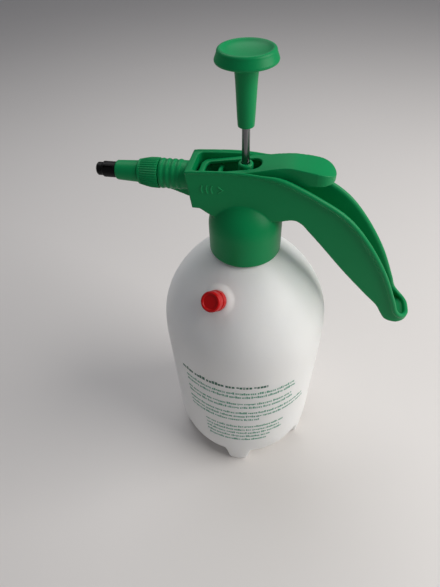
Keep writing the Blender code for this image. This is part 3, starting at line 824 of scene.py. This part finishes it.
def barrel_line():
    """The ribbed spigot that the nozzle screws on, by distance along the nozzle's axis."""
    line = [(0, 60.5), (6.8, 60.5), (6.8, BARREL_END), (BARREL_R, BARREL_END)]
    for rib in range(RIB_COUNT):
        start = BARREL_END - 0.5 - rib * RIB_PITCH
        line += [(BARREL_R, start), (BARREL_RIB_R, start - 0.7), (BARREL_RIB_R, start - 1.9),
                 (BARREL_R, start - 2.6)]
    return softened(line + [(BARREL_R, 32.8), (0, 32.8)], 0.45)


def rim_height(x):
    """Height of the rim line at a distance from the bottle's axis."""
    line = flowing(RIM, 8)
    for (x0, z0), (x1, z1) in zip(line, line[1:]):
        if x0 <= x <= x1:
            return z0 + (z1 - z0) * (x - x0) / (x1 - x0)
    return line[-1][1]


def rim_bead():
    """The bead along both rims and round the toe: thin beside the box, thick on the handle."""
    bend = TOE_X - BEAD_R - TOE_ROUND
    beside = HEAD_HALF + BEAD_OUT
    side = [(BEAD_START_X, beside, rim_height(BEAD_START_X))]
    side += [(x, beside, z) for x, z in flowing(RIM, 5) if BEAD_START_X + 1.0 < x < bend - 1.0]
    for x, y in arc((bend, beside - TOE_ROUND), TOE_ROUND, 90, 0, 10):
        side.append((x, y, rim_height(x)))
    line = side + [(x, -y, z) for x, y, z in side[::-1]]
    radii = [BOX_BEAD_R + (BEAD_R - BOX_BEAD_R) * ease((x - 8.0) / 18.0) for x, y, z in line]
    return swept(line, radii, 16)


def head_solid():
    side = flowing(RIM, 8) + flowing(SOLE, 8) + THROAT
    plan = plan_outline(HEAD_HALF, -40.0, 2.0, TOE_X, TOE_ROUND)
    dome = arc((0, DOME_Z), COLLAR_R, 90, 0, 28)
    dome[0] = (0, DOME_Z + COLLAR_R)
    collar = turned(dome + [(COLLAR_R, COLLAR_Z), (0, COLLAR_Z)], 144)
    gusset = [(-31.0, 268.0), (-50.5, 268.0), (-50.5, 264.6), (-46.0, 263.6), (-31.0, 258.0)]
    channel = [(-33.0, FLOOR_Z)] + flowing(CHANNEL_FLOOR, 8) + [(122.0, 179.0), (122.0, 300.0),
                                                               (-33.0, 300.0)]
    inner = plan_outline(HEAD_HALF - HEAD_WALL, -30.6, 3.0, TOE_X - 1.9, TOE_ROUND - 1.8)
    pocket = combined(plate(channel, HEAD_HALF - HEAD_WALL),
                      ("INTERSECT", plate(inner, 100.0, False, 230.0)))
    cavity = ([(0, 262.4), (7.5, 262.4)] + arc((0, 243.0), 19.5, 62, 12, 12)
              + [(19.5, CLAMP_Z), (COLLAR_BORE, CLAMP_Z), (COLLAR_BORE, COLLAR_Z - 5.0),
                 (0, COLLAR_Z - 5.0)])
    duct = NOZZLE @ Matrix.Translation((-BORE_DROP, 0, 0))
    valve = Matrix.Translation((VALVE_X, 0, 0))
    return combined(
        plate(side, HEAD_HALF),
        ("INTERSECT", plate(plan, 100.0, False, 230.0)),
        ("UNION", collar),
        ("UNION", turned(barrel_line(), 96, False, NOZZLE)),
        ("UNION", plate(gusset, 3.2)),
        ("DIFFERENCE", pocket),
        ("UNION", rim_bead()),
        ("DIFFERENCE", turned(cavity, 128)),
        ("DIFFERENCE", rod(4.9, 255.0, 275.0)),
        ("DIFFERENCE", rod(4.7, 246.0, 275.0, 48, valve)),
        ("DIFFERENCE", rod(1.6, 28.0, 65.0, 24, duct)),
        ("DIFFERENCE", rod(2.3, -11.9, 11.9, 32, facing(PIVOT, (0, 1, 0)))))


def strip(points, half, low, high):
    """A raised line on the near wall, through points in X and Z."""
    work = bmesh.new()
    rings = []
    for i, (x, z) in enumerate(points):
        before = points[max(i - 1, 0)]
        after = points[min(i + 1, len(points) - 1)]
        along = Vector((after[0] - before[0], after[1] - before[1])).normalized()
        across = Vector((-along.y, along.x))
        ring = []
        for side, level in ((-1.25, low), (-0.75, high), (0.75, high), (1.25, low)):
            ring.append(work.verts.new((x + across.x * half * side, level,
                                        z + across.y * half * side)))
        rings.append(ring)
    skinned(work, rings)
    return work


def build_marks():
    """Plain arcs and a chevron cast on the near wall."""
    sizes = bpy.context.scene.sprayer_sizes
    face = -HEAD_HALF
    proud = face - sizes.mark_height / MM
    centre_z = 271.9
    lines = [arc((-19.6, centre_z), 5.2, 150, 210, 8),
             arc((-16.6, centre_z), 5.2, 147, 213, 8),
             arc((-13.6, centre_z), 5.2, 150, 210, 8),
             [(-14.6, centre_z + 2.2), (-11.8, centre_z), (-14.6, centre_z - 2.2)]]
    whole = bmesh.new()
    for line in lines:
        mesh = as_mesh(strip(line, 0.42, face + 0.2, proud), "mark")
        whole.from_mesh(mesh)
        bpy.data.meshes.remove(mesh)
    # the marks' finish is the green lightened as a painted highlight
    add_piece("head_marks", as_mesh(whole, "marks"), "head", "green_plastic", (), "cast_mark",
              60.0)


def build_head():
    sizes = bpy.context.scene.sprayer_sizes
    mesh = remoulded(head_solid(), sizes.voxel / MM, 3, sizes.shell_share)
    add_piece("head_shell", mesh, "head", "green_plastic", ["head_housing"], None, 60.0)


# ---------------------------------------- lever

def lever_outline(inset):
    """The lever seen from above: rails, a slight waist and a round paddle."""
    far = arc((-23.3, 5.1), 5.0 - inset, 180, 90, 10)
    far += [(x, half - inset) for x, half in flowing(LEVER_WAIST, 4)]
    far += arc((42.6, 0), 10.0 - inset, 84, 0, 20)
    return far + [(x, -y) for x, y in far[::-1] if y > 0.01]


def lever_solid():
    under = [(x, z - 2.0) for x, z in LEVER_TOP[1:]]
    hollow = combined(
        plate(flowing(under, 6) + [(56.0, 262.0), (-30.0, 262.0)], LEVER_HALF - LEVER_WALL),
        ("INTERSECT", plate(lever_outline(LEVER_WALL), 60.0, False, 270.0)))
    slot = plan_outline(SLOT_HALF, -24.5, 2.5, 9.5, 5.5)
    cross = facing(PIVOT, (0, 1, 0))
    return combined(
        plate(flowing(LEVER_TOP, 8) + flowing(LEVER_UNDER, 4), LEVER_HALF),
        ("INTERSECT", plate(lever_outline(0.0), 60.0, False, 270.0)),
        ("DIFFERENCE", hollow),
        ("DIFFERENCE", plate(slot, 20.0, False, 285.0)),
        ("DIFFERENCE", block((-36, -6, 260), (-24, 6, 276.6))),
        ("UNION", rod(2.0, -11.6, -8.0, 32, cross)),
        ("UNION", rod(2.0, 8.0, 11.6, 32, cross)),
        ("UNION", rod(1.5, -9.2, 9.2, 24, facing(PRESS_BAR, (0, 1, 0)))))


def build_lever():
    sizes = bpy.context.scene.sprayer_sizes
    mesh = remoulded(lever_solid(), 0.8 * sizes.voxel / MM, 6, 0.8 * sizes.shell_share)
    add_piece("lever_shell", mesh, "lever", "green_plastic", ["thumb_lever"], None, 60.0)


# ---------------------------------------- pump

def build_pump():
    dish = flowing([(0, 343.1), (6.0, 343.4), (10.5, 344.3), (12.6, 345.4)], 4)
    rim = arc((13.4, 344.1), 1.6, 100, 10, 10)
    body = softened([(15.1, 343.6), (16.4, 340.4), (16.0, 339.3), (7.8, 339.3), (6.5, 337.5),
                     (5.85, 330.0), (5.0, 311.6)], 0.7, False, 4)
    end = softened([(5.0, 311.6), (4.65, 306.3), (2.6, 306.3), (2.6, 325.0), (0, 325.0)], 0.3)
    add_piece("knob_shell", turned(dish + rim + body + end[1:], 112), "plunger", "green_plastic",
              ["pump_knob"], None, 60.0)
    line = softened([(0, 324.6), (2.3, 324.6), (2.3, 204.6), (3.4, 204.6), (3.4, 202.2),
                     (0, 202.2)], 0.25)
    add_piece("rod_bar", turned(line, 64), "plunger", "steel", ["pump_rod"])
    tower = softened([(2.6, 284.2), (3.9, 284.2), (4.5, 283.4), (4.5, 252.0), (6.0, 249.9),
                      (12.5, 249.9), (12.5, 246.9), (10.5, 246.9), (10.5, 240.0), (5.4, 240.0),
                      (5.4, 243.0), (2.6, 243.0)], 0.3, True)
    add_piece("guide_tower", turned(tower, 64, True), "head", "green_plastic",
              ["cylinder_cap"])


# ---------------------------------------- nozzle

def build_nozzle():
    sizes = bpy.context.scene.sprayer_sizes

    def ribbed(radius, along, angle):
        if radius < 7.5:
            return radius
        here = ease((65.3 - along) / 0.6)
        wave = 0.5 - 0.5 * math.cos(sizes.ribs * angle)
        return radius - sizes.rib_depth / MM * here * wave ** 0.7

    outside = [(9.3, 53.7), (9.3, 55.6), (9.2, 59.0), (8.6, 62.4), (8.06, 64.7), (8.0, 65.0),
               (7.93, 65.3), (7.72, 66.2)]
    line = ([(7.1, 53.4), (9.0, 53.4)] + outside
            + softened([(7.7, 66.4), (7.3, 66.8), (5.1, 66.8), (5.1, 64.1), (7.1, 64.1)], 0.2))
    add_piece("nut_grip", turned(line, sizes.ribs * 8, True, NOZZLE, ribbed), "nut",
              "green_plastic", ["nozzle_nut"], None, 50.0)
    sleeve = softened([(3.2, 81.8), (5.4, 81.8), (6.0, 81.0), (6.65, 67.1), (4.8, 67.1),
                       (4.8, 63.8), (6.5, 63.8), (6.5, 62.3), (2.2, 62.3), (2.2, 65.6),
                       (3.2, 65.6)], 0.45, True)
    add_piece("nozzle_sleeve", turned(sleeve, 96, True, NOZZLE), "head", "green_plastic",
              ["nozzle_tube"])
    tip = softened([(0.5, 94.8), (3.4, 94.8), (4.1, 94.1), (4.1, 91.0), (4.9, 90.2),
                    (4.9, 82.1), (2.9, 82.1), (2.9, 74.4), (2.0, 74.4), (2.0, 91.6),
                    (0.5, 93.4)], 0.25, True)
    steps = []
    for side in range(4):
        turn = NOZZLE @ Matrix.Rotation(math.radians(45 + 90 * side), 4, "Z")
        steps.append(("DIFFERENCE", block((3.9, -0.8, 83.4), (6.5, 0.8, 89.8), turn)))
    add_piece("tip_shell", combined(turned(tip, 72, True, NOZZLE), *steps), "tip",
              "black_plastic", ["nozzle_tip"], None, 35.0)


# ---------------------------------------- relief valve

def build_relief():
    body = softened([(3.4, 5.0), (6.6, 5.0), (7.1, 4.5), (7.1, 1.0), (4.3, 1.0), (4.3, -9.0),
                     (1.6, -9.0), (1.6, -6.6), (3.4, -6.6)], 0.35, True)
    add_piece("relief_base", turned(body, 80, True, RELIEF), "bottle_body", "red_plastic",
              ["relief_body"])
    cap = softened([(0, 11.2), (4.8, 11.2), (5.2, 12.0), (6.2, 12.0), (6.9, 11.2), (6.9, 6.2),
                    (6.2, 5.4), (1.5, 5.4), (1.5, 9.4), (0, 9.4)], 0.45)
    add_piece("relief_button", turned(cap, 80, False, RELIEF), "relief_pull_knob",
              "red_plastic", ["relief_cap"])


# ---------------------------------------- springs

def coiled(radius, wire, low, high, turns, place):
    """A compression spring along Z with closed ends."""
    count = turns * 32
    line = []
    for i in range(count + 1):
        angle = 2 * math.pi * turns * i / count
        rise = low + wire + (high - low - 2 * wire) * i / count
        line.append((radius * math.cos(angle), radius * math.sin(angle), rise))
    return swept(line, [wire] * (count + 1), 10, place)


def build_springs():
    valve = Matrix.Translation((VALVE_X, 0, 0))
    spring = add_piece("valve_coil", coiled(2.1, 0.3, 262.3, 265.9, 3, valve), "head", "steel",
                       ["valve_spring"], None, 80.0)
    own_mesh(spring)
    spring = add_piece("relief_coil", coiled(2.4, 0.35, -3.4, 3.3, 4, RELIEF), "bottle_body",
                       "steel", ["relief_spring"], None, 80.0)
    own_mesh(spring)


# ---------------------------------------- pieces kept from the model

def finish_kept():
    """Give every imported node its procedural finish."""
    made = finishes()
    for part in frame["record"]["subparts"]:
        node = frame["nodes"][part["node"]]
        for held in node.material_slots:
            held.material = made[part["material_slot"]]


# ---------------------------------------- stage

def aimed(point, target, turn=0.0):
    """A place at the point that looks at the target along its own -Z."""
    look = (Vector(target) - Vector(point)).to_track_quat("-Z", "Y").to_matrix().to_4x4()
    return Matrix.Translation(point) @ look @ Matrix.Rotation(turn, 4, "Z")


def add_lamp(name, point, target, size, power, colour):
    light = bpy.data.lights.new(name, "AREA")
    light.shape = "RECTANGLE"
    light.size = size[0]
    light.size_y = size[1]
    light.energy = power
    light.color = colour
    linked(name, light).matrix_world = aimed(point, target)


def build_stage():
    scene = bpy.context.scene
    stage = scene.sprayer_stage
    work = bmesh.new()
    bmesh.ops.create_grid(work, x_segments=8, y_segments=8, size=3.0)
    floor = linked("floor", as_mesh(work, "floor"))
    floor.data.materials.append(smooth_floor("table_top", stage.floor))

    world = bpy.data.worlds.new("room")
    world.use_nodes = True
    back = world.node_tree.nodes["Background"]
    back.inputs["Color"].default_value = (0.90, 0.92, 1.0, 1.0)
    back.inputs["Strength"].default_value = stage.room
    scene.world = world
    scene.view_settings.view_transform = "Standard"

    middle_of = (0, 0, 0.14)
    add_lamp("side_lamp", (0.95, -0.02, 0.80), middle_of, (0.9, 0.9), stage.key_power,
             (1.0, 0.985, 0.96))
    add_lamp("top_lamp", (-0.25, 0.45, 1.10), middle_of, (0.9, 0.7), stage.fill_power,
             (0.97, 0.98, 1.0))

    camera = bpy.data.cameras.new("camera")
    camera.lens = stage.lens
    camera.sensor_width = 36.0
    camera.clip_start = 0.01
    viewer = linked("camera", camera)
    flat = math.cos(stage.pitch)
    forward = Vector((-math.sin(stage.yaw) * flat, math.cos(stage.yaw) * flat,
                      -math.sin(stage.pitch)))
    right = forward.cross(Vector((0, 0, 1))).normalized()
    up = right.cross(forward)
    turn = Matrix((right, up, -forward)).transposed().to_4x4()
    viewer.matrix_world = (Matrix.Translation(stage.eye) @ turn
                           @ Matrix.Rotation(-stage.roll, 4, "Z"))
    scene.camera = viewer


# ---------------------------------------- operators

class SPRAYER_OT_bottle(bpy.types.Operator):
    """Build the bottle with its feet, thread and valve seat"""
    bl_idname = "sprayer.bottle"
    bl_label = "Bottle"

    def execute(self, context):
        build_bottle()
        return {"FINISHED"}


class SPRAYER_OT_print(bpy.types.Operator):
    """Print the unreadable rows on the bottle"""
    bl_idname = "sprayer.print_rows"
    bl_label = "Print"

    def execute(self, context):
        build_print()
        return {"FINISHED"}


class SPRAYER_OT_head(bpy.types.Operator):
    """Build the head moulding and the marks cast on it"""
    bl_idname = "sprayer.head"
    bl_label = "Head"

    def execute(self, context):
        build_head()
        build_marks()
        return {"FINISHED"}


class SPRAYER_OT_lever(bpy.types.Operator):
    """Build the thumb lever"""
    bl_idname = "sprayer.lever"
    bl_label = "Thumb lever"

    def execute(self, context):
        build_lever()
        return {"FINISHED"}


class SPRAYER_OT_pump(bpy.types.Operator):
    """Build the pump's knob, rod and guide"""
    bl_idname = "sprayer.pump"
    bl_label = "Pump"

    def execute(self, context):
        build_pump()
        return {"FINISHED"}


class SPRAYER_OT_nozzle(bpy.types.Operator):
    """Build the nozzle's nut, sleeve and tip"""
    bl_idname = "sprayer.nozzle"
    bl_label = "Nozzle"

    def execute(self, context):
        build_nozzle()
        return {"FINISHED"}


class SPRAYER_OT_relief(bpy.types.Operator):
    """Build the red relief valve"""
    bl_idname = "sprayer.relief"
    bl_label = "Relief valve"

    def execute(self, context):
        build_relief()
        return {"FINISHED"}


class SPRAYER_OT_springs(bpy.types.Operator):
    """Build the two springs"""
    bl_idname = "sprayer.springs"
    bl_label = "Springs"

    def execute(self, context):
        build_springs()
        return {"FINISHED"}


class SPRAYER_OT_kept(bpy.types.Operator):
    """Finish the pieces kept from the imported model"""
    bl_idname = "sprayer.kept"
    bl_label = "Kept pieces"

    def execute(self, context):
        finish_kept()
        return {"FINISHED"}


class SPRAYER_OT_stage(bpy.types.Operator):
    """Set the floor, the lamps and the camera"""
    bl_idname = "sprayer.stage"
    bl_label = "Stage"

    def execute(self, context):
        build_stage()
        return {"FINISHED"}


OPERATORS = [SPRAYER_OT_kept, SPRAYER_OT_bottle, SPRAYER_OT_print, SPRAYER_OT_head,
             SPRAYER_OT_lever, SPRAYER_OT_pump, SPRAYER_OT_nozzle, SPRAYER_OT_relief,
             SPRAYER_OT_springs, SPRAYER_OT_stage]


class SPRAYER_PT_panel(bpy.types.Panel):
    """Lists the sprayer's builders and settings"""
    bl_idname = "SPRAYER_PT_panel"
    bl_label = "Hand Sprayer"
    bl_space_type = "VIEW_3D"
    bl_region_type = "UI"
    bl_category = "Sprayer"

    def draw(self, context):
        layout = self.layout
        for operator in OPERATORS:
            layout.operator(operator.bl_idname)
        for group in (context.scene.sprayer_colours, context.scene.sprayer_sizes,
                      context.scene.sprayer_stage):
            box = layout.box()
            for name in type(group).__annotations__:
                box.prop(group, name)


GROUPS = {"sprayer_colours": SprayerColours, "sprayer_sizes": SprayerSizes,
          "sprayer_stage": SprayerStage}


def register():
    for group in GROUPS.values():
        bpy.utils.register_class(group)
    for name, group in GROUPS.items():
        setattr(bpy.types.Scene, name, PointerProperty(type=group))
    for item in OPERATORS + [SPRAYER_PT_panel]:
        bpy.utils.register_class(item)


def unregister():
    for item in [SPRAYER_PT_panel] + OPERATORS[::-1]:
        bpy.utils.unregister_class(item)
    for name in GROUPS:
        delattr(bpy.types.Scene, name)
    for group in GROUPS.values():
        bpy.utils.unregister_class(group)


def main():
    register()
    bpy.ops.sprayer.kept()
    bpy.ops.sprayer.bottle()
    bpy.ops.sprayer.print_rows()
    bpy.ops.sprayer.head()
    bpy.ops.sprayer.lever()
    bpy.ops.sprayer.pump()
    bpy.ops.sprayer.nozzle()
    bpy.ops.sprayer.relief()
    bpy.ops.sprayer.springs()
    bpy.ops.sprayer.stage()


if __name__ == "__main__":
    main()
